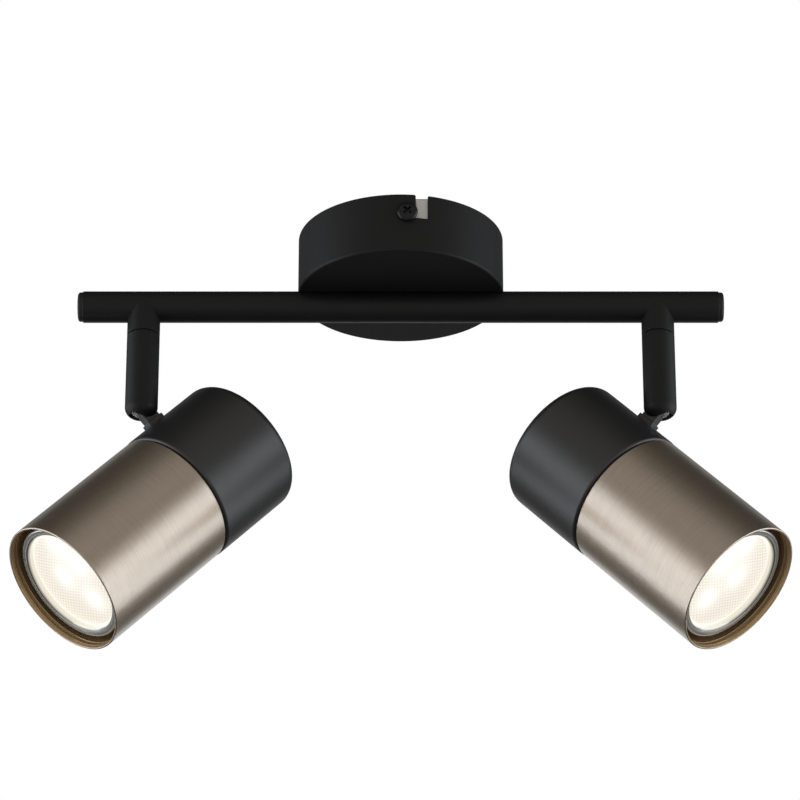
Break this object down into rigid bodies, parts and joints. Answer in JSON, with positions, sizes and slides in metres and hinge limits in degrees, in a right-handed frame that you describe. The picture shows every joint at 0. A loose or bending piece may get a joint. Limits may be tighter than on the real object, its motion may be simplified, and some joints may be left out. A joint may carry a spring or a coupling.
{
  "type": "spotlight bar",
  "caption": "Spotlight bar for a ceiling or wall: a round canopy, a tube bar, and swivelling arms with tilting cylinder heads in black and gunmetal.",
  "frame": {"origin": "centre of the face that meets the ceiling, on the canopy's axis", "axes": "+Z out of the fitting into the ceiling, +X along the bar, -Y towards the viewer of the picture"},
  "size_m": [0.304, 0.0885, 0.1766],
  "materials": {
    "powder_black": "matt black powder coat",
    "black_screw": "black oxide steel",
    "gunmetal": "brushed gunmetal, streaks round the axis",
    "zinc": "bright zinc coat",
    "black_moulding": "moulded black",
    "block_white": "white moulded polyamide",
    "brass_screw": "nickelled brass",
    "lead_insulation": "pale silicone insulation",
    "ceramic": "glazed off-white steatite",
    "lamp_white": "white moulded lamp base",
    "pin_metal": "nickelled pins",
    "lamp_glass": "silvered glass reflector",
    "lens": "frosted micro lens cover",
    "circuit_board": "white board with yellow light sources"
  },
  "bodies": {
    "base": {"canopy": "powder_black", "ceiling_bracket": "zinc", "canopy_screws": "black_screw", "terminal_block": "block_white", "terminal_screws": "brass_screw", "earth_screw": "brass_screw", "bar": "powder_black", "left_bar_cap": "black_moulding", "right_bar_cap": "black_moulding", "bar_screws": "zinc", "bar_weld_nuts": "zinc", "wire_bush": "black_moulding", "left_stub": "powder_black", "right_stub": "powder_black", "stop_pins": "zinc", "bar_leads": "lead_insulation"},
    "left_arm": {"left_swivel_stem": "powder_black", "left_spring_washer": "zinc", "left_swivel_nut": "zinc", "left_arm": "powder_black", "left_tilt_screw": "black_screw", "left_friction_washers": "black_moulding", "left_arm_leads": "lead_insulation"},
    "left_head": {"left_hinge_hub": "zinc", "left_hinge_lug": "powder_black", "left_lug_nut": "zinc", "left_cup": "powder_black", "left_shade": "gunmetal", "left_holder_bracket": "zinc", "left_lamp_holder": "ceramic", "left_holder_screws": "zinc", "left_lamp_base": "lamp_white", "left_lamp_pins": "pin_metal", "left_lamp_glass": "lamp_glass", "left_lamp_lens": "lens", "left_led_board": "circuit_board", "left_head_leads": "lead_insulation"},
    "right_arm": {"right_swivel_stem": "powder_black", "right_spring_washer": "zinc", "right_swivel_nut": "zinc", "right_arm": "powder_black", "right_tilt_screw": "black_screw", "right_friction_washers": "black_moulding", "right_arm_leads": "lead_insulation"},
    "right_head": {"right_hinge_hub": "zinc", "right_hinge_lug": "powder_black", "right_lug_nut": "zinc", "right_cup": "powder_black", "right_shade": "gunmetal", "right_holder_bracket": "zinc", "right_lamp_holder": "ceramic", "right_holder_screws": "zinc", "right_lamp_base": "lamp_white", "right_lamp_pins": "pin_metal", "right_lamp_glass": "lamp_glass", "right_lamp_lens": "lens", "right_led_board": "circuit_board", "right_head_leads": "lead_insulation"}
  },
  "joints": [
    {"name": "left_pan", "type": "hinge", "parent": "base", "child": "left_arm", "pos_m": [-0.103, 0, -0.0424], "axis": [0, 0, 1], "range_deg": [-165, 165]},
    {"name": "left_tilt", "type": "hinge", "parent": "left_arm", "child": "left_head", "pos_m": [-0.103, 0, -0.0738], "axis": [-0.4305, 0.9026, 0], "range_deg": [-44.2, 45.8]},
    {"name": "right_pan", "type": "hinge", "parent": "base", "child": "right_arm", "pos_m": [0.103, 0, -0.0424], "axis": [0, 0, 1], "range_deg": [-165, 165]},
    {"name": "right_tilt", "type": "hinge", "parent": "right_arm", "child": "right_head", "pos_m": [0.103, 0, -0.0738], "axis": [-0.4305, -0.9026, 0], "range_deg": [-44.2, 45.8]}
  ]
}
